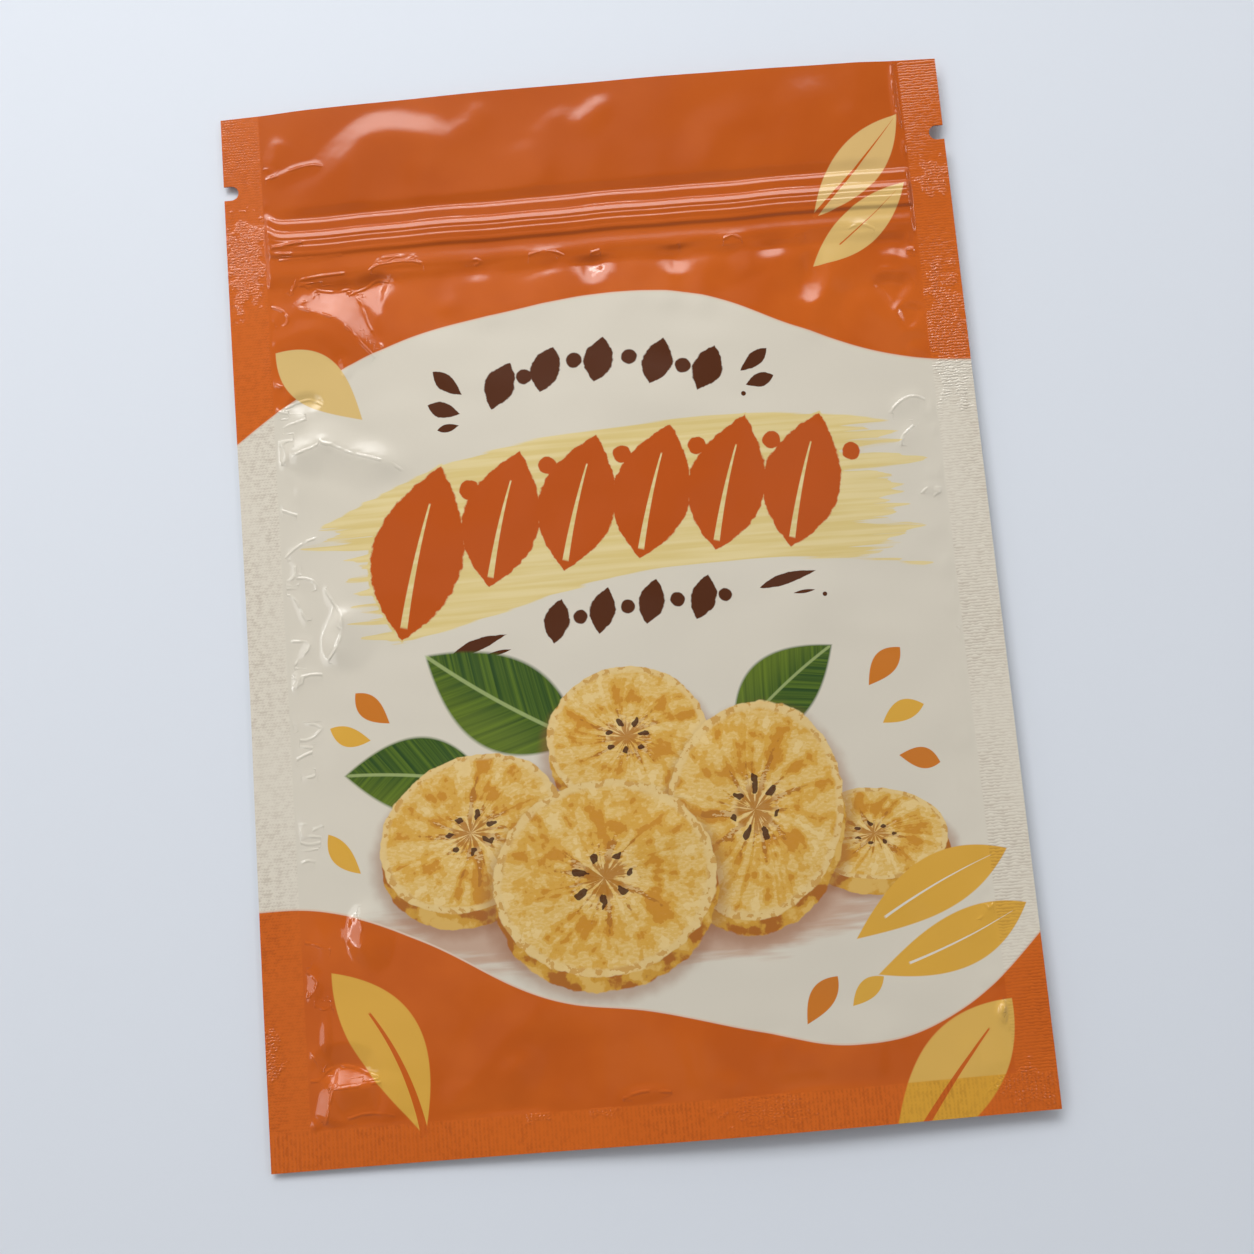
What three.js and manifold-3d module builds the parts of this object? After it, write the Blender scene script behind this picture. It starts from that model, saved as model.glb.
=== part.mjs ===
import * as THREE from 'three';
import { mergeVertices } from 'three/addons/utils/BufferGeometryUtils.js';
import Module from 'manifold-3d';

// A flat zipper pouch of printed film, shut and nearly empty, lying on its back.
// It is two sheets of film joined by a flat seal down each side and across the foot,
// with a press-to-close zipper below an unsealed mouth. Sizes are in millimetres.
// "up" is measured up the pouch from the edge of its foot seal. +Y points to the
// mouth, +Z away from the surface it lies on, and the origin is on that surface,
// under the middle of the outline.

// The outline
const WIDTH = 150;
const SIDE_LENGTH = 212;
const MOUTH_BOW = 1.2;
const LEFT_DRAWN_IN = 0.4;
const LENGTH = SIDE_LENGTH + MOUTH_BOW;
const HALF_WIDTH = WIDTH / 2;

// The seals
const SEAL_WIDTH = 8;
const SEAL_THICKNESS = 0.36;
const SEAL_INNER_X = HALF_WIDTH - SEAL_WIDTH;

// How far the sealed edges hang clear of the surface below
const EDGE_LIFT = 1.2;
const RIGHT_EDGE_LIFT = 1.5;
const FOOT_LIFT = 1.6;
const FOOT_LIFT_X = 20;
const FOOT_LIFT_SPREAD = [45, 40];

// The belly: a little air between the sheets
const FRONT_RISE = 4.2;
const BACK_DROP = 4.0;
const BELLY_FULLNESS = 0.75;

// The zipper: two flanges with the pressed-together track between them
const ZIPPER_LOW = 176;
const ZIPPER_HIGH = 188.3;
const FLANGE_STEP = 0.3;
const TRACK_LOW = 180.6;
const TRACK_HIGH = 185.9;
const TRACK_RISE = 0.6;
const RIBS = [181.9, 183.3, 184.7];
const RIB_RISE = 0.28;
const RIB_SPREAD = 0.5;
const CRUSH_AT_SEAL = 0.6;

// The mouth: the lips above the zipper are two loose sheets
const LIP_THICKNESS = 0.35;
const LIP_GAP = 0.5;
const MOUTH_FLOOR = 189.6;
const LIP_EASE = 10;

// The tear notches, one in each side seal
const NOTCH_UP = 195.8;
const NOTCH_WIDTH = 3.1;
const NOTCH_DEPTH = 3.0;

// Folds in the front lip, then in the front sheet: the crest's path as [x, up], its rise
// and its spread
const LIP_FOLDS = [
  { crest: [[-67, 199], [-57, 201], [-45, 208], [-28, 205], [-20, 210]], rise: 1.2, spread: 3.4 },
  { crest: [[-8, 204], [-6, 197]], rise: 0.7, spread: 4 },
];
const SHEET_FOLDS = [
  { crest: [[-64, 176], [-54, 169], [-44, 155]], rise: 1.3, spread: 3.8 },
  { crest: [[-67, 137], [-57.5, 141.5], [-41, 134]], rise: 0.9, spread: 2.8 },
  { crest: [[-66, 119], [-59, 122], [-55.5, 107], [-60, 94]], rise: 0.9, spread: 2.6 },
  { crest: [[-66, 8], [-63.5, 15.5], [-60, 17.5], [-53, 15]], rise: 1.5, spread: 2.8 },
  { crest: [[-67, 34], [-62, 36], [-57, 44]], rise: 0.8, spread: 3.2 },
  { crest: [[66, 174], [58, 168], [50, 160]], rise: 0.8, spread: 4 },
  { crest: [[66, 12], [60, 16]], rise: 0.6, spread: 3.5 },
  { crest: [[8, 8], [4, 22]], rise: 0.5, spread: 4 },
];

// Puckers: small waves that start at a seam and fade into the sheet
const PUCKER = { rise: 0.34, reach: 7, sidePitch: 14, zipperPitch: 9.4, footPitch: 17 };

// Grid lines across and up the pouch: a start, then spans as [end, number of steps]
const COLUMNS = gridLines(-75, [-67.5, 1], [-66.5, 1], [-48, 7], [-20, 6], [40, 9],
  [66.5, 8], [67.5, 1], [75, 1]);
const ROWS = gridLines(0, [7.5, 1], [8.5, 1], [20, 4], [160, 29], [175.6, 5], [176.4, 1], [180.2, 2],
  [185.9, 8], [187.9, 1], [188.5, 1], [212, 8]);

const { smoothstep } = THREE.MathUtils;

function gridLines(start, ...spans) {
  const lines = [start];
  for (const [end, steps] of spans) {
    const from = lines.at(-1);
    for (let step = 1; step <= steps; step += 1) {
      lines.push(from + ((end - from) * step) / steps);
    }
  }
  return lines;
}

function bell(distance, spread) {
  return Math.exp(-((distance / spread) ** 2));
}

// Height of the layer where the two sheets meet, carried on over the whole pouch
function seamHeight(x, up) {
  const towardsRight = (x + HALF_WIDTH) / WIDTH;
  const atFoot = bell(x - FOOT_LIFT_X, FOOT_LIFT_SPREAD[0]) * bell(up, FOOT_LIFT_SPREAD[1]);
  return EDGE_LIFT + RIGHT_EDGE_LIFT * towardsRight + FOOT_LIFT * atFoot;
}

// 0 at the seams, 1 at the fullest place
function pillow(x, up) {
  const halfHeight = (ZIPPER_LOW - SEAL_WIDTH) / 2;
  const across = x / SEAL_INNER_X;
  const along = (up - SEAL_WIDTH - halfHeight) / halfHeight;
  const inside = Math.max(0, 1 - across ** 2) * Math.max(0, 1 - along ** 2);
  return inside ** BELLY_FULLNESS;
}

// How much the zipper thickens one side, less where the side seals crush it
function zipperRise(x, up) {
  const flange = smoothstep(up, ZIPPER_LOW - 0.4, ZIPPER_LOW + 0.4)
    - smoothstep(up, ZIPPER_HIGH - 0.4, ZIPPER_HIGH + 0.2);
  const track = smoothstep(up, TRACK_LOW, TRACK_LOW + 0.8) - smoothstep(up, TRACK_HIGH - 0.8, TRACK_HIGH);
  const ribs = RIBS.reduce((sum, rib) => sum + bell(up - rib, RIB_SPREAD), 0);
  const crush = 1 - CRUSH_AT_SEAL * smoothstep(Math.abs(x), SEAL_INNER_X - 1, SEAL_INNER_X + 1);
  return crush * (FLANGE_STEP * flange + TRACK_RISE * track + RIB_RISE * ribs);
}

// How much the loose lips stand apart from the seam layer, on one side
function lipRise(x, up) {
  const fromSide = smoothstep(SEAL_INNER_X - Math.abs(x), 0, LIP_EASE);
  const fromZipper = smoothstep(up, ZIPPER_HIGH - 0.5, MOUTH_FLOOR);
  return (LIP_THICKNESS + LIP_GAP / 2 - SEAL_THICKNESS / 2) * fromSide * fromZipper;
}

function foldRise(fold, x, up) {
  const here = new THREE.Vector3(x, up, 0);
  const nearest = new THREE.Vector3();
  let distance = Infinity;
  for (let i = 1; i < fold.crest.length; i += 1) {
    const piece = new THREE.Line3(
      new THREE.Vector3(...fold.crest[i - 1], 0),
      new THREE.Vector3(...fold.crest[i], 0),
    );
    piece.closestPointToPoint(here, true, nearest);
    distance = Math.min(distance, nearest.distanceTo(here));
  }
  return fold.rise * bell(distance, fold.spread);
}

// One row of puckers: a wave along the seam, nothing on the seal, strongest just inside it
function puckerWave(along, inside, pitch) {
  const wander = 1.2 * Math.sin((along / pitch) * 1.7);
  const fade = smoothstep(inside, 0, 2.5) * Math.exp(-Math.max(0, inside) / PUCKER.reach);
  return PUCKER.rise * fade * Math.cos((2 * Math.PI * along) / pitch + wander);
}

function puckers(x, up) {
  const insideSide = SEAL_INNER_X - Math.abs(x);
  const sideShift = x < 0 ? 0 : 5;
  const alongSide = puckerWave(up + sideShift, insideSide, PUCKER.sidePitch) * smoothstep(up, 8, 14);
  const underZipper = puckerWave(x, ZIPPER_LOW - up, PUCKER.zipperPitch);
  const overFoot = puckerWave(x, up - SEAL_WIDTH, PUCKER.footPitch);
  const belowZipper = 1 - smoothstep(up, ZIPPER_LOW - 3, ZIPPER_LOW);
  return belowZipper * (alongSide + (underZipper + overFoot) * smoothstep(insideSide, 0, 6));
}

function lipFolds(x, up) {
  const fromSide = smoothstep(SEAL_INNER_X - Math.abs(x), 0, LIP_EASE);
  const fromZipper = smoothstep(up, ZIPPER_HIGH, ZIPPER_HIGH + 5);
  return fromSide * fromZipper * LIP_FOLDS.reduce((sum, fold) => sum + foldRise(fold, x, up), 0);
}

function sheetFolds(x, up) {
  const insideFoot = smoothstep(up, SEAL_WIDTH - 0.5, SEAL_WIDTH + 2);
  const free = smoothstep(SEAL_INNER_X - Math.abs(x), -0.5, 2) * insideFoot;
  const belowZipper = 1 - smoothstep(up, ZIPPER_LOW - 5, ZIPPER_LOW);
  return free * belowZipper * SHEET_FOLDS.reduce((sum, fold) => sum + foldRise(fold, x, up), 0);
}

function frontHeight(x, up) {
  return seamHeight(x, up) + SEAL_THICKNESS / 2 + FRONT_RISE * pillow(x, up)
    + zipperRise(x, up) + lipRise(x, up) + lipFolds(x, up) + sheetFolds(x, up) + puckers(x, up);
}

// The back sheet lies flat on the surface wherever the belly presses it down
function backHeight(x, up) {
  const free = seamHeight(x, up) - SEAL_THICKNESS / 2 - BACK_DROP * pillow(x, up)
    - 0.6 * zipperRise(x, up) - lipRise(x, up);
  return Math.max(0, free);
}

// The gap between the lips is one lip's thickness in from both of their outer surfaces
function gapHeight(x, up, side) {
  const outer = side > 0 ? frontHeight(x, up) : backHeight(x, up);
  return outer - side * LIP_THICKNESS;
}

// Turns a box with a grid on its faces into a sheet-like solid between two surfaces
function sheetSolid(columns, rows, heightOf) {
  const box = new THREE.BoxGeometry(1, 1, 1, columns.length - 1, rows.length - 1, 1);
  const position = box.getAttribute('position');
  for (let i = 0; i < position.count; i += 1) {
    const x = columns[Math.round((position.getX(i) + 0.5) * (columns.length - 1))];
    const up = rows[Math.round((position.getY(i) + 0.5) * (rows.length - 1))];
    const side = Math.sign(position.getZ(i));
    const drawnIn = LEFT_DRAWN_IN * bell(up - SIDE_LENGTH / 2, 45) * ((HALF_WIDTH - x) / WIDTH) ** 3;
    const bow = MOUTH_BOW * (1 - (x / HALF_WIDTH) ** 2) * (up / SIDE_LENGTH) ** 12;
    position.setXYZ(i, x + drawnIn, up + bow - LENGTH / 2, heightOf(x, up, side));
  }
  return box;
}

function pouchGeometry() {
  return sheetSolid(COLUMNS, ROWS, (x, up, side) => (side > 0 ? frontHeight(x, up) : backHeight(x, up)));
}

function mouthGapGeometry() {
  const columns = COLUMNS.filter((x) => Math.abs(x) < SEAL_INNER_X - LIP_EASE / 2);
  const rows = [...ROWS.filter((up) => up > MOUTH_FLOOR), SIDE_LENGTH + 3];
  return sheetSolid(columns, rows, gapHeight);
}

// A round-ended slot that reaches in from the side edge, through the whole thickness
function notchGeometry(side) {
  const radius = NOTCH_WIDTH / 2;
  const centre = HALF_WIDTH - NOTCH_DEPTH + radius;
  const outside = HALF_WIDTH + 2;
  const outline = new THREE.Shape();
  outline.moveTo(outside, -radius);
  outline.lineTo(outside, radius);
  outline.lineTo(centre, radius);
  outline.absarc(centre, 0, radius, Math.PI / 2, (3 * Math.PI) / 2, false);
  outline.closePath();
  const slot = new THREE.ExtrudeGeometry(outline, { depth: 8, bevelEnabled: false, curveSegments: 8 });
  slot.translate(0, 0, -1);
  if (side < 0) {
    slot.rotateZ(Math.PI);
  }
  return slot.translate(0, NOTCH_UP - LENGTH / 2, 0);
}

const wasm = await Module();
wasm.setup();

function toSolid(geometry) {
  const bare = geometry.clone();
  bare.deleteAttribute('normal');
  bare.deleteAttribute('uv');
  const merged = mergeVertices(bare, 1e-4);
  return new wasm.Manifold(new wasm.Mesh({
    numProp: 3,
    vertProperties: new Float32Array(merged.getAttribute('position').array),
    triVerts: new Uint32Array(merged.index.array),
  }));
}

function toGeometry(solid) {
  const mesh = solid.getMesh();
  const geometry = new THREE.BufferGeometry();
  geometry.setAttribute('position', new THREE.BufferAttribute(mesh.vertProperties, 3));
  geometry.setIndex(new THREE.BufferAttribute(mesh.triVerts, 1));
  geometry.computeVertexNormals();
  return geometry;
}

const solid = toSolid(pouchGeometry())
  .subtract(toSolid(mouthGapGeometry()))
  .subtract(toSolid(notchGeometry(1)))
  .subtract(toSolid(notchGeometry(-1)));

const film = new THREE.MeshStandardMaterial({ color: 0xb9602c, roughness: 0.32, metalness: 0 });
const pouch = new THREE.Mesh(toGeometry(solid), film);
pouch.name = 'pouch';

const model = new THREE.Group();
model.add(pouch);

export default model;
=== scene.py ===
import math

import bmesh
import bpy
import numpy as np
from mathutils import Matrix, Vector


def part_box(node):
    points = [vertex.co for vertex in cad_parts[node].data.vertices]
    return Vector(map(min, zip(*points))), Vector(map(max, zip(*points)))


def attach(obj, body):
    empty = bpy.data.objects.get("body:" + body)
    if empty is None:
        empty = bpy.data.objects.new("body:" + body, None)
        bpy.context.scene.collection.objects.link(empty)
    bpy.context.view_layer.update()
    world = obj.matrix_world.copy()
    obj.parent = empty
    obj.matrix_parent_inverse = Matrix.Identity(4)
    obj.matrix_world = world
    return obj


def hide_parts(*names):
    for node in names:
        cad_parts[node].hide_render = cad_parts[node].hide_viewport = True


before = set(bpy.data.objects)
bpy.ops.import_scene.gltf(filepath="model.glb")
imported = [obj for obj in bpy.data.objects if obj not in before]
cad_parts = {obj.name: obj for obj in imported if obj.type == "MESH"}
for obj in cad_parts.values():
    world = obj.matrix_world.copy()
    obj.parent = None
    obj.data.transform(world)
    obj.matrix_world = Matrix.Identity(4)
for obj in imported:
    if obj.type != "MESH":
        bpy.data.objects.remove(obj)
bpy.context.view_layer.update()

# ---------------------------------------------------------------------------------------
# The front sheet: one piece of glossy printed laminate, 0.13 mm thick. It is heat-sealed
# to the back sheet down both sides and across the foot, and loose at the mouth. Its
# creases start at the seals and at the zipper that is welded inside it.
# ---------------------------------------------------------------------------------------
MM = 0.001
mouth_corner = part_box("pouch")[1]
half_width = mouth_corner.x / MM
half_length = mouth_corner.y / MM
mouth_bow, left_drawn_in, drawn_in_reach = 1.2, 0.4, 45
side_length = 2 * half_length - mouth_bow
seal_width = 8.0
seal_inner_x = half_width - seal_width
foot_seal_width = 7.3
film_thickness = 0.13

zipper_low, zipper_high = 176.2, 188.4
track_low, track_high = 180.1, 185.85
# the zipper under the film, from its lower flange over the track's ribs, as up and height
zipper_profile = [(173.8, 0), (176.5, 0.42), (177.2, 0.48), (179.9, 0.46), (180.35, 0.50), (180.9, 0.78),
                  (181.3, 0.81), (181.6, 0.79), (182.5, 0.90), (182.95, 0.828), (183.7, 0.90),
                  (184.1, 0.836), (184.5, 0.92), (185.5, 0.755), (185.95, 0.34), (186.3, 0.31),
                  (187.6, 0.33), (187.8, 0.32), (188.35, 0.232), (188.65, 0.05), (189, 0)]
flange_sag = 0.20
crushed_at_seal = 0.93
lip_opening = 0.42

front_rise, back_drop, belly_fullness = 4.2, 4.0, 1.2
# how far the sealed edges hang clear of the table: at the left, more at the right, most at the foot
edge_lift, right_edge_lift, foot_lift = 1.2, 1.5, 1.6
foot_lift_x, foot_lift_width, foot_lift_reach = 20, 45, 40
sheet_gap, table_gap = 0.005, 0.02


def ease(start, end, value):
    """0 before start, 1 after end, and smooth between them."""
    share = np.clip((value - start) / (end - start), 0.0, 1.0)
    return share * share * (3 - 2 * share)


def bell(distance, spread):
    return np.exp(-(distance / spread) ** 2)


def seam_height(x, up):
    """Height of the layer where the two sheets meet, carried on over the whole pouch."""
    towards_right = (x + half_width) / (2 * half_width)
    at_foot = bell(x - foot_lift_x, foot_lift_width) * bell(up, foot_lift_reach)
    return edge_lift + right_edge_lift * towards_right + foot_lift * at_foot


def pillow(x, up):
    """0 at the seams, 1 where the air holds the sheets furthest apart."""
    half_height = (zipper_low - seal_width) / 2
    across = x / seal_inner_x
    along = (up - seal_width - half_height) / half_height
    inside = np.clip(1 - across ** 2, 0, None) * np.clip(1 - along ** 2, 0, None)
    return inside ** belly_fullness


def zipper_relief(x, up):
    """The zipper pressed through the film: two flat flanges and the ribbed track between.
    Its left end droops where the side seal crushes it, and the whole strip wanders a little."""
    up = up - 2.6 * bell(x + 68.2, 2.6) * ease(track_low - 2, track_high, up)
    up = up - 0.10 * np.sin(x / 6.3 + 0.6) - 0.06 * np.sin(x / 2.7)
    profile = np.interp(up, *zip(*zipper_profile))
    sag = ease(zipper_low + 0.8, track_low - 0.3, up) - ease(track_low, track_low + 0.7, up)
    crush = 1 - crushed_at_seal * ease(seal_inner_x - 0.8, seal_inner_x + 0.1, np.abs(x))
    return crush * (profile - flange_sag * sag * ease(-66, -20, x))


def lip_relief(x, up):
    """How far each loose lip stands off the seam above the zipper."""
    from_side = ease(0, 10, seal_inner_x - np.abs(x))
    return lip_opening * from_side * ease(zipper_high + 0.5, zipper_high + 3.0, up)


def smooth_path(points, steps=8):
    """A smooth line through a few given points."""
    ends = [2 * points[0] - points[1], *points, 2 * points[-1] - points[-2]]
    line = []
    for a, b, c, d in zip(ends, ends[1:], ends[2:], ends[3:]):
        for t in np.arange(steps) / steps:
            line.append(0.5 * (2 * b + (c - a) * t + (2 * a - 5 * b + 4 * c - d) * t ** 2
                               + (3 * b - a - 3 * c + d) * t ** 3))
    line.append(points[-1])
    return np.array(line)


# a crease sharper than this carries a hard line, and points without one near count as far off
sharp_crest, far_off = 0.26, 9.0


def crease(x, up, path, rise, flanks, crest, bow=1.25):
    """A fold along a path. Its flanks are the widths towards the upper left and the lower
    right. They and the rise are each one number or several along the path. Bow 1 makes flat
    facets, more makes hollow ones. Returns the height and the distance from the crest."""
    line = smooth_path([np.array(point, float) for point in path])
    reach = 1.6 * max(np.max(flank) for flank in flanks)
    near = ((x > line[:, 0].min() - reach) & (x < line[:, 0].max() + reach)
            & (up > line[:, 1].min() - reach) & (up < line[:, 1].max() + reach))
    here = np.stack([x[near], up[near]], axis=1)
    gap = np.full(len(here), 1e9)
    along = np.zeros(len(here))
    chord = line[-1] - line[0]
    lit_is_left = 1 if 0.6 * chord[1] + 0.8 * chord[0] > 0 else -1
    for i, (start, end) in enumerate(zip(line, line[1:])):
        step = end - start
        share = np.clip(((here - start) @ step) / (step @ step), 0, 1)
        offset = here - start - share[:, None] * step
        left = np.where(step[0] * offset[:, 1] - step[1] * offset[:, 0] > 0, lit_is_left, -lit_is_left)
        distance = np.hypot(offset[:, 0], offset[:, 1])
        closer = distance < np.abs(gap)
        gap = np.where(closer, distance * left, gap)
        along = np.where(closer, (i + share) / (len(line) - 1), along)
    lit, shade, rise = (np.interp(along, np.linspace(0, 1, np.size(part)), np.atleast_1d(part))
                        for part in (*flanks, rise))
    taper = ease(-0.02, 0.3, along) * ease(-0.02, 0.3, 1 - along)
    width = np.where(gap > 0, lit, shade) * (0.5 + 0.5 * taper)
    rounded = np.sqrt(gap ** 2 + crest ** 2) - crest
    height = np.zeros_like(x)
    height[near] = rise * taper * np.clip(1 - rounded / width, 0, None) ** bow
    crest_gap = np.full(x.shape, far_off)
    crest_gap[near] = np.where(taper > 0.12, gap, far_off)
    return height, crest_gap


def bubble(x, up, centre, radii, rise, turn):
    """A small dome or, with a negative rise, a dimple, with a sharp rim."""
    dx, dy = x - centre[0], up - centre[1]
    cos, sin = math.cos(math.radians(turn)), math.sin(math.radians(turn))
    u = (dx * cos + dy * sin) / radii[0]
    v = (dy * cos - dx * sin) / radii[1]
    return rise * np.clip(1 - u ** 2 - v ** 2, 0, None) ** 1.2


# Creases as path, rise, flank widths and crest radius
lip_creases = [
    ([(-67, 198), (-64, 198.4), (-60, 199.6), (-56, 200), (-53.4, 199.2)], 0.17, (0.8, 2.8), 0.12),
    ([(-67, 200.4), (-65.2, 199.8), (-64.4, 198.8), (-66.8, 197.9)], 0.13, (0.5, 0.8), 0.1),
    ([(-62, 194.4), (-56, 195), (-52, 197.6), (-48.6, 201), (-44.5, 204.2), (-39.5, 205), (-33.5, 203.5),
      (-28.5, 202), (-24.4, 203.2), (-19.6, 206.4)],
     (0.36, 0.40, 0.43, 0.47, 0.48, 0.50, 0.42), ((4.4, 5, 4.2, 4, 4.6, 4), (9, 9, 9)), 1.4, 1.2),
    ([(-65.4, 199), (-63.8, 203.6), (-62.4, 207)], 0.16, (2, 3), 0.7),
    ([(-26, 203.8), (-22, 206.6), (-19, 210)], 0.2, (2.4, 4), 0.8),
    ([(-7, 203.6), (-4, 205.4), (-1, 206.2)], 0.16, (2.4, 3), 0.8),
    ([(-3, 202), (0, 203.6), (3, 206), (7, 209.5)], 0.34, (2.2, 4), 0.6),
    ([(-9.6, 189), (-8.5, 198), (-6.5, 207)], 0.2, (2.8, 3.6), 1.2),
    ([(-34.5, 189), (-33.5, 195), (-32, 201)], 0.15, (3, 4), 1.2),
    ([(22, 189), (27, 197), (38, 206)], 0.2, (5, 6), 2),
    ([(43, 190), (47, 200), (46, 211)], 0.2, (6, 6), 2),
    ([(66, 213), (65.6, 206), (65.8, 200), (66.6, 196.4)], 0.3, (0.8, 0.8), 0.12),
]
# Broad flat facets where the film is dented hard, below 0 for a dent and above 0 for a ridge.
# Where two dents or two ridges meet, the deeper or the higher one shows.
facets = [
    # the hard dent beside the left end of the zipper
    ([(-62.2, 174.9), (-58.8, 174.3), (-56.5, 173.3), (-53.2, 172.7), (-50.2, 172.9), (-48.8, 171.3),
      (-47.6, 168.3), (-46.6, 164.8), (-44.7, 161.2), (-43.2, 158.2)],
     (-0.45, -0.58, -0.60, -0.64, -0.70, -0.70, -0.66, -0.58, -0.50, -0.42),
     (2.2, (4.4, 4.8, 5, 5.6, 7, 6.4, 5.4, 4, 3.2, 2.6)), 0.2, 1),
    ([(-62.6, 171.6), (-61, 170), (-57.2, 168.4), (-54.2, 167.1), (-51.7, 165.3), (-49.6, 162.9),
      (-48.1, 160.6), (-46.2, 158.4), (-45, 157)],
     (0.42, 0.50, 0.52, 0.58, 0.66, 0.62, 0.54, 0.48, 0.42),
     ((4.4, 5, 5.4, 6.4, 6.6, 5.4, 4.2, 3.4, 2.8), 6), 0.2, 1),
    ([(-51.4, 171.4), (-47.2, 173), (-44.2, 174.4), (-40.4, 173.2)], (-0.80, -1.02, -1.06, -0.90),
     (2.6, (5.6, 6.8, 7.6, 6.2)), 0.2, 1),
    # pleats that hang from the zipper's lower edge
    ([(-26.4, 175), (-24, 175.6), (-21.4, 175)], -0.55, (1, 3.4), 0.3, 1),
    ([(-11, 175), (-9, 175.6), (-6.6, 174.8)], -0.50, (1, 3.6), 0.3, 1),
    ([(-2.8, 173.8), (0.4, 174.8), (3.2, 174)], -1.05, (1.6, 7), 0.3, 1),
    ([(27, 174.2), (29, 174.8), (31, 174)], -0.30, (1.2, 5), 0.6, 1.2),
    ([(35, 173.6), (37, 174.4), (39.2, 173.4)], -0.36, (1.6, 5.6), 0.8, 1.2),
    # soft dents beside the right seal
    ([(57, 172.4), (61.6, 173.2), (66.2, 171.8)], -0.34, (1.6, 6.5), 0.5, 1.2),
    ([(56.6, 163.4), (60.8, 164.6), (65.4, 162.6)], -0.46, (2, 6.5), 0.6, 1.2),
    ([(60.6, 157.6), (63.8, 158.4), (66.8, 157)], -0.34, (1.2, 4.6), 0.4, 1.1),
    ([(-33.4, 171.6), (-29.5, 173), (-25.8, 171.4)], -0.18, (2, 7), 0.8, 1.4),
    ([(-18.6, 171.6), (-14.5, 173), (-10.6, 171.4)], -0.16, (2, 7), 0.8, 1.4),
    # folds pulled out of the seals at the lower left
    ([(-56.6, 48.4), (-55.2, 46.2), (-55, 43.4), (-55.6, 40.4), (-57.6, 38.4)],
     0.74, ((2.2, 4.4, 4.2, 2.4), (4, 6.5, 6)), 0.25, 1),
    ([(-65, 16.2), (-63.4, 17.9), (-60.8, 18.6), (-58, 18.1), (-55.6, 17), (-52.6, 15.9)],
     (-0.7, -0.88, -0.92, -0.88, -0.7, -0.4), (4.4, (3.4, 3.6, 3.7, 3.6, 2.6, 1.8)), 0.2, 1),
    ([(-63.6, 15.2), (-61.8, 14.8), (-59.2, 14.9), (-56.7, 15), (-54.6, 15.2), (-52.2, 15.3)],
     (0.85, 0.95, 0.96, 0.85, 0.55, 0.3), ((3.4, 3.6, 3.7, 3.2, 2.2, 1.6), 6), 0.2, 1),
    ([(-62, 16.4), (-62.8, 12.8), (-63.6, 9.8), (-64.4, 7.8)], 0.52, (2.4, 4), 0.2, 1),
    ([(-56.4, 107.4), (-55.4, 103.6), (-56.4, 99.6), (-59.8, 95.6)],
     0.88, ((2.2, 3.8, 4.2, 3), (5, 7, 6)), 0.2, 1),
    ([(-65.4, 148.6), (-60.2, 150.2), (-56.6, 148.6)], -0.5, ((1.2, 1.4, 1.2), (2, 3.4, 2.4)), 0.25, 1),
]
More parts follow.
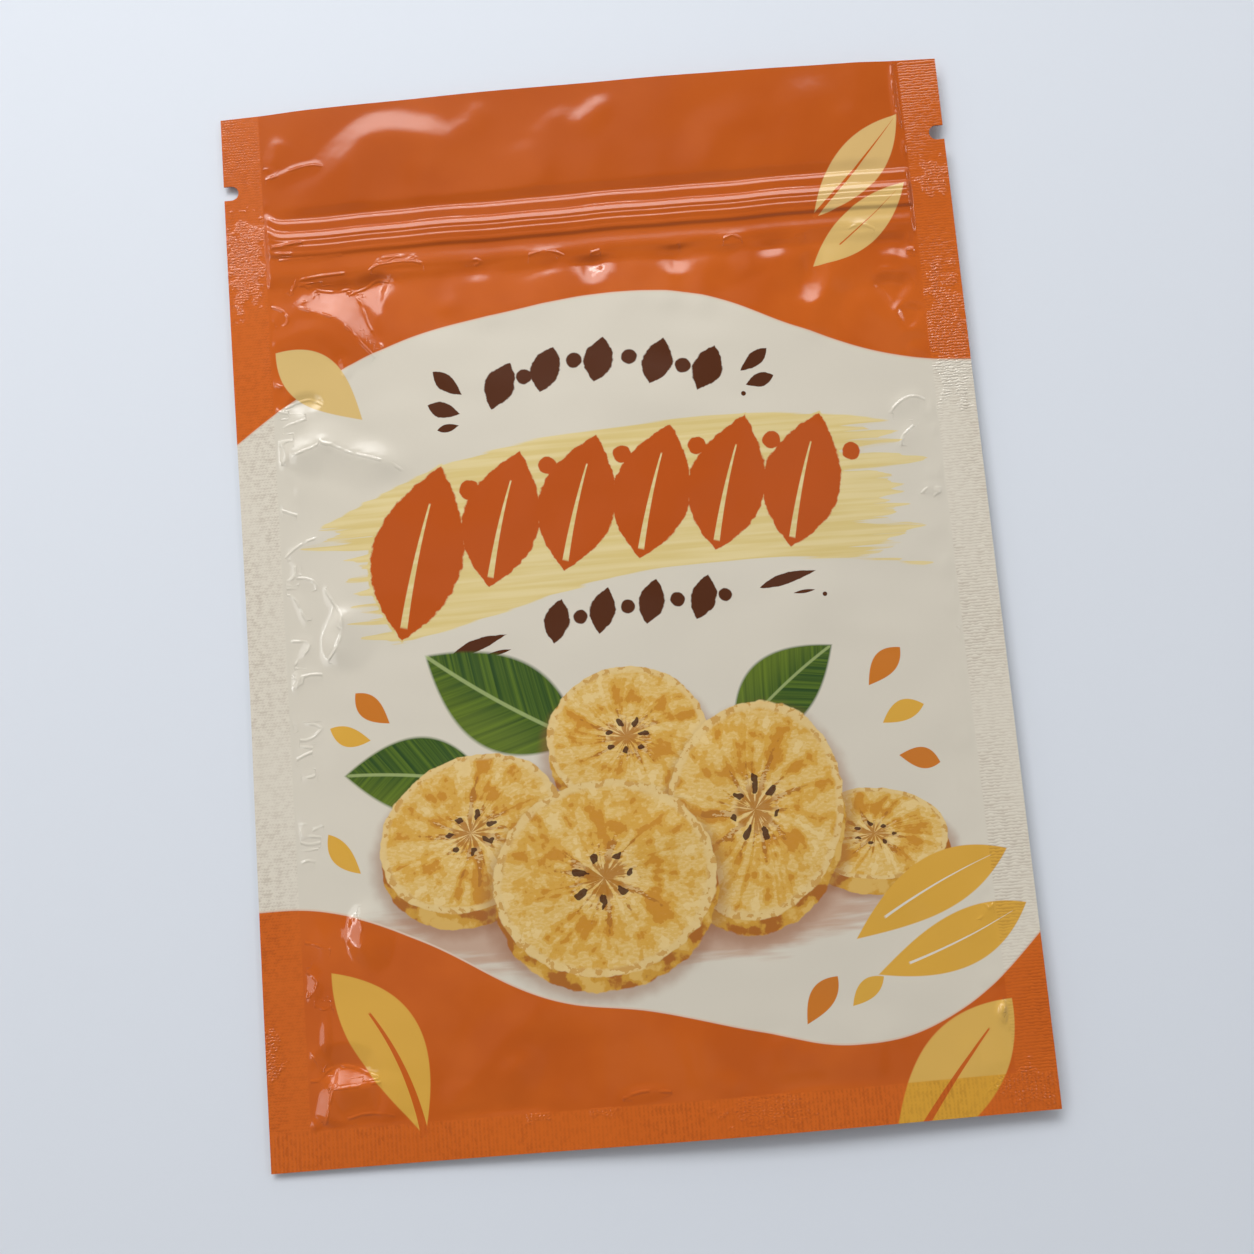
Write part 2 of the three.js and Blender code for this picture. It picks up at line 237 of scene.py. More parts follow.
sheet_creases = [
    # small folds beside the left end of the zipper
    ([(-62.4, 171.8), (-61.4, 174.6), (-59.2, 174.4), (-57.6, 172.2), (-59.8, 170.9), (-61.4, 170.6)],
     0.05, (0.7, 0.7), 0.12),
    ([(-67, 160.6), (-65.4, 162.6), (-62, 164.2), (-57, 164), (-53.6, 162.4), (-51.4, 159.8), (-51, 157)],
     0.26, (2.6, 5), 0.7),
    ([(-53, 158.2), (-51.6, 155.8), (-52.4, 153.6)], 0.22, (1.4, 1.4), 0.3),
    ([(-67, 170.6), (-64.8, 169.8), (-63.2, 168), (-63.8, 166.2), (-66.6, 166)], 0.11, (0.8, 1.6), 0.24),
    ([(-66, 144.8), (-62.5, 145.6), (-60, 146.4)], 0.2, (1, 2), 0.2),
    ([(-67, 155.4), (-66.4, 154), (-63.8, 152.8)], 0.18, (0.8, 1.2), 0.15),
    ([(-67, 149.2), (-66, 148.2), (-63.8, 147.6)], 0.16, (0.7, 1), 0.15),
    # the long ridge and the bubbles down the left side
    ([(-67.2, 136.2), (-64.6, 138.4), (-60.4, 139.6), (-56.8, 140.6), (-52, 138.2), (-47, 136.4),
      (-43, 134.6), (-39.5, 131.6)], 0.9, ((4, 5.6, 4.6, 4), (5, 6.5, 7, 6)), 0.12),
    ([(-58.4, 142), (-56.8, 140.4), (-54.8, 140.4)], 0.16, (0.7, 0.9), 0.15),
    ([(-67, 141.6), (-65.8, 141), (-65.2, 138.8), (-66.6, 137.2)], 0.16, (0.6, 0.8), 0.12),
    ([(-67, 134.6), (-64.6, 134.4), (-62.8, 131.8), (-64.4, 128.6)], 0.12, (1, 2.6), 0.3),
    ([(-67, 117.6), (-64.2, 119.8), (-61, 121.2), (-57.6, 121.5)], 0.16, (0.9, 4), 0.12),
    ([(-66.8, 117.6), (-65, 116.8), (-64.4, 114.8), (-65.4, 113.6), (-67, 113.1)], 0.14, (0.6, 0.8), 0.12),
    ([(-65.4, 113.8), (-62.4, 113.4), (-60.6, 112.2), (-60.4, 110.2)], 0.13, (0.7, 2), 0.12),
    ([(-59.4, 112), (-57.4, 108.6), (-56, 105.6), (-56.4, 102.2)], 0.18, (0.9, 2.6), 0.12),
    ([(-66.6, 110.8), (-64.6, 109), (-63.4, 106), (-62, 104.2)], 0.16, (0.7, 1.6), 0.12),
    ([(-67, 101.2), (-63.2, 100.6), (-62.8, 99.2), (-66.8, 95.4)], 0.16, (0.8, 1.2), 0.12),
    ([(-66.6, 94.9), (-65, 93.9), (-61.8, 94.1), (-59.6, 93.8)], 0.16, (0.7, 1.6), 0.12),
    ([(-65.4, 94.4), (-65.2, 92.4), (-66.8, 90.8)], 0.16, (0.7, 1), 0.12),
    ([(-66.4, 82.6), (-63.6, 84.4), (-60.8, 83.2), (-63.4, 81.4), (-66.2, 81.4)], 0.16, (0.6, 1), 0.12),
    ([(-66.8, 85), (-65, 84)], 0.12, (0.7, 1), 0.12),
    ([(-60.5, 84), (-58, 78), (-59.4, 71)], 0.22, (3.4, 6), 1),
    ([(-65.5, 74.8), (-63.6, 74), (-62, 74.6)], 0.10, (0.8, 1.4), 0.2),
    ([(-66.8, 62.8), (-64, 63.6), (-61, 64.6)], 0.14, (0.7, 1.4), 0.12),
    ([(-66.6, 61.6), (-64.6, 61), (-61.8, 61.2)], 0.12, (0.7, 1.2), 0.12),
    ([(-67, 57), (-65, 57.9), (-63, 57.4)], 0.12, (0.7, 1.2), 0.15),
    ([(-64, 47), (-62, 40), (-63, 30)], 0.16, (2.4, 4), 0.8),
    # the lower left corner
    ([(-67, 37.4), (-64.2, 34.4), (-67, 31)], 0.26, (1.2, 1.6), 0.15),
    ([(-65.4, 30.6), (-63.4, 29.6), (-61.4, 30.4)], 0.16, (0.8, 1.4), 0.15),
    ([(-66.5, 22.6), (-64.8, 19), (-64.4, 16.8)], 0.2, (1.1, 1.6), 0.2),
    ([(-62, 8.4), (-56, 9.6), (-50, 8.6)], 0.2, (1.4, 2.6), 0.25),
    # the right side
    ([(59, 170.4), (62.6, 169.8), (65, 168), (66.6, 165.8)], 0.2, (1.6, 3.4), 0.3),
    ([(57, 166.6), (60.5, 166.2), (64, 164.4)], 0.18, (1.8, 3.4), 0.4),
    ([(50, 176), (47, 167), (43.6, 158), (43, 152)], 0.34, (3.6, 5), 0.8),
    ([(53, 164), (57, 158), (66, 152)], 0.25, (4.4, 6), 0.6),
    ([(59, 157), (63, 158.2), (66.5, 156.4)], 0.16, (1.6, 3), 0.5),
    ([(64.4, 171.2), (66.6, 170.6)], 0.2, (0.7, 0.9), 0.15),
    ([(56.6, 136.2), (59.4, 139), (62.4, 140.1), (65.4, 139)], 0.26, (1.4, 3.2), 0.2),
    ([(58.5, 129.2), (59.5, 132), (62.6, 134.6)], 0.2, (1.4, 3), 0.2),
    ([(61.4, 119.6), (63.4, 121), (66, 120.6), (63.6, 119)], 0.22, (0.9, 1.4), 0.12),
    ([(65.6, 93.4), (66.8, 91.8), (65.2, 90.4)], 0.16, (0.8, 1.2), 0.12),
    ([(65, 18.2), (66.4, 19.8), (67.2, 18.6), (66, 16.8)], 0.26, (0.8, 1), 0.12),
    ([(66.4, 15.6), (67.4, 16.4)], 0.24, (0.7, 0.9), 0.12),
    ([(62.6, 35.4), (65.2, 37.6), (67.4, 39.4)], 0.20, (0.8, 1.2), 0.12),
    ([(64.2, 39), (66, 38.2), (67.6, 37.4)], 0.14, (0.6, 0.9), 0.12),
    # over the foot seal
    ([(5, 24), (7.5, 14), (8.2, 8.2)], 0.3, (2.6, 3), 0.3),
    ([(23, 20), (24.5, 14), (25, 8.2)], 0.26, (3, 3.4), 0.6),
    ([(-8, 8.5), (-3.5, 9.8), (2.5, 9.2)], 0.22, (1.4, 3), 0.2),
    ([(-38, 10), (-30, 20), (-16, 30)], 0.3, (5, 7), 0.8),
    ([(-31, 8.6), (-28, 14), (-24, 20)], 0.24, (3.4, 4), 0.4),
    ([(66.8, 21.4), (65.4, 18.2), (66.8, 15.6)], 0.3, (1, 1.4), 0.15),
]
# Laps and slips of film along the edges of the zipper's flanges
zipper_creases = [
    ([(-46.2, 175.8), (-44.6, 177), (-42, 177.5), (-38, 177.6), (-35.2, 177), (-33, 175.8)],
     0.15, (0.5, 1.6), 0.1),
    ([(-45, 178.2), (-41, 178.9), (-37, 178.8), (-34.6, 178.2)], 0.08, (0.5, 0.8), 0.1),
    ([(-27, 176), (-24.6, 176.8), (-22.4, 176), (-24.4, 175.4)], 0.14, (0.6, 1), 0.1),
    ([(-14.4, 175.8), (-11.4, 177), (-8, 177), (-5, 175.6)], 0.13, (0.6, 1.4), 0.1),
    ([(-0.4, 175.8), (1.4, 176.4), (3.2, 175.7)], 0.12, (0.6, 1), 0.1),
    ([(16.4, 175.8), (18, 176.6), (19.8, 175.7)], 0.12, (0.6, 1), 0.1),
    ([(26.4, 175.7), (29, 177.2), (31.8, 175.6)], 0.13, (0.6, 1.4), 0.1),
    ([(41.6, 175.7), (43.2, 176.5), (45, 175.7)], 0.12, (0.6, 1), 0.1),
    ([(52, 175.8), (55.4, 177.2), (59, 175.6)], 0.13, (0.6, 1.6), 0.1),
    ([(-62, 175.4), (-56, 176), (-50, 176.2)], 0.06, (0.5, 0.9), 0.1),
    ([(-66, 182.7), (-62.4, 183.1), (-58.4, 183.5)], 0.20, (0.6, 0.6), 0.12),
    ([(-65.4, 181.6), (-63, 181.3), (-61, 181.3)], 0.10, (0.4, 0.5), 0.1),
    ([(-65.2, 180.1), (-58, 180), (-50, 180.1)], 0.07, (0.4, 0.4), 0.1),
]
# Bubbles as centre, radii, rise and turn
bubbles = [
    ((-66.8, 192.4), (0.8, 1.4), 0.2, 0),
    ((-66.6, 176.2), (0.9, 1.8), 0.3, 0),
    ((-65.2, 168), (1.6, 2), 0.16, -20),
    ((-66.6, 128), (0.8, 1.5), 0.16, 0),
    ((-66.5, 7.9), (1.5, 1.5), 0.3, 45),
    ((-63.2, 24.4), (1.2, 4.6), 0.18, -4),
    ((17.5, 174.8), (2, 5.4), -0.80, 0),
    ((44.4, 167), (3.6, 6), -0.85, -10),
    ((66.6, 192.6), (0.9, 2.4), 0.25, 0),
    ((66.6, 186.2), (0.7, 1.4), 0.3, 0),
    ((66, 177.6), (0.8, 1.4), 0.3, -20),
    ((67, 179.8), (0.7, 1), 0.25, 0),
    ((65.2, 173.4), (0.7, 0.9), 0.2, 0),
    ((65, 138.4), (1, 1), -0.2, 0),
    ((66.2, 133), (1.3, 0.7), 0.2, 0),
    ((65.4, 106.3), (1.6, 0.8), 0.2, 0),
    ((66.4, 100.4), (0.9, 0.9), 0.2, 0),
    ((66.8, 24.8), (0.6, 1.1), 0.25, 0),
    ((66.3, 18.9), (1.2, 1.6), 0.50, -15),
    ((66.9, 15.8), (0.9, 0.6), 0.30, 0),
    ((66.6, 38.4), (1.1, 0.5), 0.28, 30),
    ((66.9, 38.8), (0.6, 0.8), 0.25, 0),
]
# Scallops where the slack film laps over the zipper's lower edge: x and width of each
scallops = [(-39.5, 6.2), (-24, 3), (-10, 4.8), (1, 2.6), (17.8, 2.4), (29, 4.5), (43, 2.2), (55, 5)]


def strewn(seed, count, place, heading, length, rise, width, crest):
    """Small creases strewn by chance, the same every time. Each pair is a least and a most."""
    chance = np.random.default_rng(seed)
    rows = []
    for i in range(count):
        x, up = place(i, chance)
        turn = math.radians(chance.uniform(*heading))
        run = chance.uniform(*length)
        middle = (x + 0.5 * run * math.cos(turn) + chance.uniform(-0.12, 0.12) * run,
                  up + 0.5 * run * math.sin(turn) + chance.uniform(-0.06, 0.06) * run)
        end = (x + run * math.cos(turn), up + run * math.sin(turn))
        flanks = (chance.uniform(*width), chance.uniform(*width))
        rows.append(([(x, up), middle, end], chance.uniform(*rise), flanks, crest))
    return rows


# pleats that hang from the zipper, puckers along the seals, and soft creases over the belly
sheet_creases += strewn(3, 13, lambda i, chance: (-36 + 7.4 * i + chance.uniform(-2, 2), 175.4),
                        (-105, -75), (7, 19), (0.10, 0.30), (2.2, 4.2), 0.35)
sheet_creases += strewn(11, 15, lambda i, chance: (67, 12 + 10.4 * i + chance.uniform(-3, 3)),
                        (155, 205), (3, 9), (0.08, 0.20), (1.4, 3), 0.3)
sheet_creases += strewn(6, 9, lambda i, chance: (-67, 16 + 15.5 * i + chance.uniform(-5, 5)),
                        (-28, 28), (3, 7), (0.05, 0.10), (0.9, 2.2), 0.2)
sheet_creases += strewn(9, 13, lambda i, chance: (-56 + 9.6 * i + chance.uniform(-3, 3), 8),
                        (65, 115), (4, 14), (0.08, 0.22), (1.8, 3.6), 0.4)
sheet_creases += strewn(14, 22, lambda i, chance: (chance.uniform(-52, 40), chance.uniform(24, 160)),
                        (-60, 120), (16, 44), (0.08, 0.22), (5, 10), 1.4)
lip_creases += strewn(17, 9, lambda i, chance: (-52 + 13 * i + chance.uniform(-4, 4), 189),
                      (70, 115), (9, 20), (0.06, 0.16), (2.6, 5), 1)


def ripples(x, up, count, shortest, longest, seed):
    """Slow waves in slack film, the same every time for one seed."""
    chance = np.random.default_rng(seed)
    total = np.zeros_like(x)
    for _ in range(count):
        heading = chance.uniform(0, math.pi)
        wave = 2 * math.pi / chance.uniform(shortest, longest)
        start = chance.uniform(0, 2 * math.pi)
        total += np.sin(wave * (x * math.cos(heading) + up * math.sin(heading)) + start)
    return total / math.sqrt(count)


def front_folds(x, up):
    """All that creases the front sheet between its seals, and how far each point is from a crest."""
    inside = seal_inner_x - np.abs(x)
    free = ease(-0.3, 1.0, inside) * ease(foot_seal_width - 0.3, foot_seal_width + 1.0, up)
    below_zipper = 1 - ease(zipper_low - 1.0, zipper_low + 0.2, up)
    above_zipper = ease(zipper_high, zipper_high + 3, up)
    total = np.zeros_like(x)
    dents, ridges = np.zeros_like(x), np.zeros_like(x)
    crest_gap = np.full(x.shape, far_off)
    for rows, share in ((lip_creases, above_zipper), (sheet_creases, below_zipper),
                        (zipper_creases, np.ones_like(x)), (facets, below_zipper)):
        for row in rows:
            height, gap = crease(x, up, *row)
            if rows is facets:
                dents, ridges = np.minimum(dents, height), np.maximum(ridges, height)
            else:
                total += share * height
            nearer = (np.abs(gap) < np.abs(crest_gap)) & (share > 0.5) & (row[3] < sharp_crest)
            crest_gap = np.where(nearer, gap, crest_gap)
    total += (1 - ease(zipper_low - 2.4, zipper_low + 0.2, up)) * (dents + ridges)
    total += (below_zipper + above_zipper) * sum(bubble(x, up, *spot) for spot in bubbles)
    slack = 0.08 * ripples(x, up, 9, 16, 42, 5) + 0.025 * ripples(x, up, 9, 6, 12, 8)
    lap = sum(bell(x - place, width * 0.55) * bell(up - zipper_low + 1.0, 1.6) for place, width in scallops)
    total += below_zipper * (0.16 * lap + slack * ease(0, 6, inside))
    total += above_zipper * 0.08 * ripples(x, up, 8, 18, 40, 21) * ease(0, 8, inside)
    return free * total, np.where(free > 0.5, crest_gap, far_off)


def front_height(x, up):
    folds, crest_gap = front_folds(x, up)
    height = (seam_height(x, up) + film_thickness + sheet_gap + front_rise * pillow(x, up)
              + zipper_relief(x, up) + lip_relief(x, up) + folds)
    return np.maximum(height, 2 * film_thickness + 3 * table_gap), crest_gap


def spaced(stops):
    """Places along a line: each stop is (end, how many steps lead to it)."""
    places = [stops[0][0]]
    for end, steps in stops[1:]:
        places += list(np.linspace(places[-1], end, steps + 1)[1:])
    return np.array(places)


def place_on_outline(x, up, height):
    """Bows the mouth out, draws the left edge in, and gives the point in metres."""
    from_right = (half_width - x) / (2 * half_width)
    drawn_in = left_drawn_in * bell(up - side_length / 2, drawn_in_reach) * from_right ** 3
    bow = mouth_bow * (1 - (x / half_width) ** 2) * (up / side_length) ** 12
    return np.stack([x + drawn_in, up + bow - half_length, height], axis=1) * MM


# Oval places where the seals are pressed coarser and glitter: centre and size
glitter_spots = [((71, 45), (12, 38)), ((-71, 74), (12, 26)), ((-74, -85), (7, 14)), ((20, -102), (24, 10)),
                 ((69, -102), (16, 11)), ((-11, -100), (8, 4)), ((-24, -99.5), (7, 4)), ((72, 80), (9, 9))]


def glitter_at(x, y):
    """1 at the middle of each glittering place, 0 at its rim and less beyond it."""
    spots = [1 - np.hypot((x - centre[0]) * 2 / size[0], (y - centre[1]) * 2 / size[1])
             for centre, size in glitter_spots]
    return np.max(spots, axis=0)


def film_sheet(name, columns, rows, height_of, thickness, facing):
    """A grid of film laid over a height, then given its thickness."""
    bm = bmesh.new()
    bmesh.ops.create_grid(bm, x_segments=len(columns) - 1, y_segments=len(rows) - 1, size=0.5)
    mesh = bpy.data.meshes.new(name)
    bm.to_mesh(mesh)
    bm.free()
    flat = np.zeros(len(mesh.vertices) * 3)
    mesh.vertices.foreach_get("co", flat)
    flat = flat.reshape(-1, 3)
    x = columns[np.rint((flat[:, 0] + 0.5) * (len(columns) - 1)).astype(int)]
    up = rows[np.rint((flat[:, 1] + 0.5) * (len(rows) - 1)).astype(int)]
    height, crest_gap = height_of(x, up)
    places = place_on_outline(x, up, height)
    mesh.vertices.foreach_set("co", places.ravel())
    carried_numbers = {"glitter": glitter_at(x * facing, up - half_length)}
    if facing < 0:
        mesh.flip_normals()
    else:
        carried_numbers["crest_gap"] = crest_gap
        carried_numbers["near_crest"] = np.clip(1.6 - np.abs(crest_gap), 0, 1)
    for number, values in carried_numbers.items():
        mesh.attributes.new(number, "FLOAT", "POINT").data.foreach_set("value", values)
    mesh.polygons.foreach_set("use_smooth", np.ones(len(mesh.polygons), bool))
    mesh.update()
    sheet = bpy.data.objects.new(name, mesh)
    bpy.context.scene.collection.objects.link(sheet)
    solidify = sheet.modifiers.new("thickness", "SOLIDIFY")
    solidify.thickness = thickness * MM
    solidify.offset = -1
    return sheet


notch_up, notch_width, notch_depth = 195.8, 3.1, 3.0
tool_foot, tool_height, tool_reach = -5, 12, 5


def notch_cutter():
    """Both tear notches as one tool: round-ended slots that reach in from the side edges."""
    bm = bmesh.new()
    radius = notch_width / 2
    for side in (-1, 1):
        centre = Vector((side * (half_width - notch_depth + radius), notch_up - half_length, tool_foot)) * MM
        disc = bmesh.ops.create_circle(bm, cap_ends=True, segments=32, radius=radius * MM,
                                       matrix=Matrix.Translation(centre))
        for vert in disc["verts"]:
            if (vert.co.x - centre.x) * side > 0:
                vert.co.x = centre.x + side * tool_reach * MM
    faces = bm.faces[:]
    grown = bmesh.ops.extrude_face_region(bm, geom=faces)
    new_verts = [part for part in grown["geom"] if isinstance(part, bmesh.types.BMVert)]
    bmesh.ops.translate(bm, vec=(0, 0, tool_height * MM), verts=new_verts)
    bmesh.ops.recalc_face_normals(bm, faces=bm.faces[:])
    mesh = bpy.data.meshes.new("notch_tool")
    bm.to_mesh(mesh)
    bm.free()
    tool = bpy.data.objects.new("notch_tool", mesh)
    bpy.context.scene.collection.objects.link(tool)
    return tool


def cut_notches(sheet):
    """Punches the notches, then settles every modifier into the mesh."""
    tool = notch_cutter()
    cut = sheet.modifiers.new("notches", "BOOLEAN")
    cut.operation = "DIFFERENCE"
    cut.solver = "MANIFOLD"
    cut.object = tool
    depsgraph = bpy.context.evaluated_depsgraph_get()
    settled = bpy.data.meshes.new_from_object(sheet.evaluated_get(depsgraph))
    sheet.modifiers.clear()
    settled.set_sharp_from_angle(angle=math.radians(40))
    sheet.data = settled
    bpy.data.objects.remove(tool)


front_columns = spaced([(-half_width, 0), (-67.4, 7), (-66.6, 3), (-50, 42), (-42, 12), (42, 46),
                        (56, 14), (66.6, 26), (67.4, 3), (half_width, 7)])
front_rows = spaced([(0, 0), (6.9, 6), (7.7, 3), (24, 29), (86, 46), (148, 62), (175.2, 44), (176.6, 6),
                     (179.9, 6), (181.3, 8), (186.1, 40), (187.4, 4), (189.2, 14), (206, 31),
                     (side_length, 7)])
front = film_sheet("front_sheet", front_columns, front_rows, front_height, film_thickness, 1)
cut_notches(front)


class Ink:
    """A number that varies over the print. Arithmetic on it adds nodes to the material."""

    def __init__(self, tree, socket):
        self.tree, self.socket = tree, socket

    def math(self, operation, *others, clamp=False):
        node = self.tree.nodes.new("ShaderNodeMath")
        node.operation, node.use_clamp = operation, clamp
        for slot, value in zip(node.inputs, (self, *others)):
            if isinstance(value, Ink):
                self.tree.links.new(value.socket, slot)
            else:
                slot.default_value = value
        return Ink(self.tree, node.outputs[0])

    def __add__(self, other):
        return self.math("ADD", other)

    def __sub__(self, other):
        return self.math("SUBTRACT", other)

    def __rsub__(self, other):
        return self.math("MULTIPLY_ADD", -1.0, other)

    def __mul__(self, other):
        return self.math("MULTIPLY", other)

    def times_plus(self, factor, extra):
        return self.math("MULTIPLY_ADD", factor, extra)

    def least(self, other):
        return self.math("MINIMUM", other)

    def most(self, other):
        return self.math("MAXIMUM", other)

    def size(self):
        return self.math("ABSOLUTE")

    def inside(self, sharpness=5.0):
        """1 where the number is above 0 and 0 below, with an edge a fraction of a mm wide."""
        return self.math("MULTIPLY_ADD", sharpness, 0.5, clamp=True)

    def fade(self, start, end):
        """Runs smoothly from 0 at start to 1 at end."""
        node = self.tree.nodes.new("ShaderNodeMapRange")
        node.interpolation_type = "SMOOTHSTEP"
        node.inputs["From Min"].default_value, node.inputs["From Max"].default_value = start, end
        self.tree.links.new(self.socket, node.inputs["Value"])
        return Ink(self.tree, node.outputs["Result"])


def film_material(name):
    """An empty glossy material, and the places in mm that its print is drawn from."""
    film = bpy.data.materials.new(name)
    film.use_nodes = True
    tree = film.node_tree
    tree.nodes.clear()
    out = tree.nodes.new("ShaderNodeOutputMaterial")
    gloss = tree.nodes.new("ShaderNodeBsdfPrincipled")
    tree.links.new(gloss.outputs[0], out.inputs[0])
    coords = tree.nodes.new("ShaderNodeTexCoord")
    to_mm = tree.nodes.new("ShaderNodeMapping")
    to_mm.inputs["Scale"].default_value = (1 / MM, 1 / MM, 1 / MM)
    tree.links.new(coords.outputs["Object"], to_mm.inputs[0])
    split = tree.nodes.new("ShaderNodeSeparateXYZ")
    tree.links.new(to_mm.outputs[0], split.inputs[0])
    return film, tree, gloss, to_mm.outputs[0], Ink(tree, split.outputs[0]), Ink(tree, split.outputs[1])


film, tree, gloss, where, x_ink, y_ink = film_material("printed_front")


def noise(scale, detail=2.0, stretch=(1, 1), turn=0.0, seed=0.0):
    """Cloudy numbers from about 0.2 to 0.8; a stretch above 1 draws them out that way."""
    place = tree.nodes.new("ShaderNodeMapping")
    place.inputs["Scale"].default_value = (scale / stretch[0], scale / stretch[1], scale)
    place.inputs["Location"].default_value = (seed, seed, seed)
    place.inputs["Rotation"].default_value = (0, 0, math.radians(turn))
    tree.links.new(where, place.inputs["Vector"])
    node = tree.nodes.new("ShaderNodeTexNoise")
    node.noise_dimensions = "2D"
    node.inputs["Scale"].default_value = 1.0
    node.inputs["Detail"].default_value = detail
    tree.links.new(place.outputs[0], node.inputs["Vector"])
    return Ink(tree, node.outputs[0])


def stripes(along, detail=2.0):
    """Uneven stripes that follow one number, such as an angle."""
    node = tree.nodes.new("ShaderNodeTexNoise")
    node.noise_dimensions = "1D"
    node.inputs["Scale"].default_value = 1.0
    node.inputs["Detail"].default_value = detail
    tree.links.new(along.socket, node.inputs["W"])
    return Ink(tree, node.outputs[0])


def blend(below, mask, above):
    """Lays one colour over another where the mask is 1."""
    node = tree.nodes.new("ShaderNodeMix")
    node.data_type = "RGBA"
    tree.links.new(mask.socket, node.inputs[0])
    for slot, value in ((node.inputs[6], below), (node.inputs[7], above)):
        if isinstance(value, bpy.types.NodeSocket):
            tree.links.new(value, slot)
        else:
            slot.default_value = (*value, 1)
    return node.outputs[2]


def choose(below, mask, above):
    """Takes one number instead of another where the mask is 1."""
    return (above - below).times_plus(mask, below)


def placed(centre, size, turn=0.0, shift=0.0):
    """Two numbers that run from -1 to 1 along a motif and across it."""
    cos, sin = math.cos(math.radians(turn)), math.sin(math.radians(turn))
    numbers = []
    for (dx, dy), length, moved in (((cos, sin), size[0], 0.0), ((-sin, cos), size[1], shift)):
        number = moved - (centre[0] * dx + centre[1] * dy) * 2 / length
        for ink, share in ((y_ink, dy), (x_ink, dx)):
            if share:
                number = ink.times_plus(share * 2 / length, number)
        numbers.append(number)
    return numbers


def radius_squared(along, across):
    return across.times_plus(across, along * along)


def leaf_shape(stalk, tip, width, bend=0.0, belly=0.0):
    """A leaf, above 0 inside: pointed at both ends. Bend bows it, belly fills one end."""
    along_x, along_y = tip[0] - stalk[0], tip[1] - stalk[1]
    centre = ((tip[0] + stalk[0]) / 2, (tip[1] + stalk[1]) / 2)
    along, across = placed(centre, (math.hypot(along_x, along_y), width),
                           math.degrees(math.atan2(along_y, along_x)), -bend)
    arc = along * along
    if bend:
        across = arc.times_plus(bend, across)
    spread = 1 - arc
    if belly:
        spread = spread * along.times_plus(belly, 1.0).most(0.05)
    return spread - across.size(), along, across


def leaves(colour, leaf_ink, rows, sharpness=26.0, rough=0.0, rib_ink=None, rib=(0.07, -0.9, 0.45),
           rim_ink=None):
    """Prints leaves in one ink. Each row is stalk, tip, width, bend and belly."""
    whole, ribs_drawn = None, None
    for stalk, tip, width, bend, belly in rows:
        shape, along, across = leaf_shape(stalk, tip, width, bend, belly)
        whole = shape if whole is None else whole.most(shape)
        if rib_ink is not None:
            thin = along.times_plus(-rib[0], rib[0]) - across.size() * 2.0
            line = thin.least((along - rib[1]).least(rib[2] - along))
            ribs_drawn = line if ribs_drawn is None else ribs_drawn.most(line)
    if rough:
        whole = whole + (brush_grain - 0.5) * rough
    if rim_ink is not None:
        colour = blend(colour, (whole + 0.07).inside(sharpness), rim_ink)
    colour = blend(colour, whole.inside(sharpness), leaf_ink)
    if rib_ink is not None:
        colour = blend(colour, ribs_drawn.inside(40.0), rib_ink)
    return colour


def edge_curve(points):
    """The height of a printed edge above the middle of the pouch, from a few points."""
    node = tree.nodes.new("ShaderNodeFloatCurve")
    line = node.mapping.curves[0]
    spots = [((px + half_width) / (2 * half_width), (py + half_length) / (2 * half_length))
             for px, py in points]
    line.points[0].location, line.points[1].location = spots[0], spots[-1]
    for spot in spots[1:-1]:
        line.points.new(*spot)
    node.mapping.update()
    share = x_ink.times_plus(1 / (2 * half_width), 0.5)
    tree.links.new(share.socket, node.inputs["Value"])
    return Ink(tree, node.outputs[0]).times_plus(2 * half_length, -half_length)


def seal_places():
    """1 over the side seals, over the foot seal, and over all of them."""
    side_seal = (x_ink.size() - seal_inner_x).fade(-0.1, 0.25)
    foot_seal = (foot_seal_width - half_length - y_ink).fade(-0.1, 0.25)
    return side_seal, foot_seal, side_seal.most(foot_seal)


orange = (0.57, 0.110, 0.0095)
cream = (0.73, 0.675, 0.57)
loose_cream = (0.685, 0.632, 0.532)


def printed_ground():
    """Orange, darkened from below the zipper up to the mouth as painted shade, with a cream panel between
    two waves, and a pale line where they meet.
    """
    cloud = noise(0.05, 3.0, seed=4.0)
    colour = blend((0.54, 0.100, 0.0080), cloud.fade(0.3, 0.7), (0.60, 0.120, 0.0110))
    # painted shade: the orange darkens from below the zipper up to the mouth, where the lip droops away from
    # the light
    colour = blend(colour, y_ink.fade(60, 86) * 0.45, (0.44, 0.076, 0.0060))
    colour = blend(colour, sealed * 0.6, (0.66, 0.138, 0.012))
    upper_edge = edge_curve([(-75, 35), (-60, 44.9), (-40, 53.7), (-20, 57.7), (5, 60.2), (22, 58.0),
                             (40, 49.8), (58, 42.6), (75, 40)])
    lower_edge = edge_curve([(-75, -57.6), (-60, -58.9), (-44, -65.2), (-20, -78.0), (0, -82.0), (20, -87.4),
                             (38, -91.2), (56, -87.6), (75, -73.4)])
    panel = (upper_edge - y_ink).least(y_ink - lower_edge)
    colour = blend(colour, (panel + 0.35).inside(), (0.72, 0.55, 0.42))
    return blend(colour, panel.inside(), blend(loose_cream, sealed, cream)), panel


side_seal, foot_seal, sealed = seal_places()
colour, panel = printed_ground()
brush_grain = noise(0.55, 3.0)

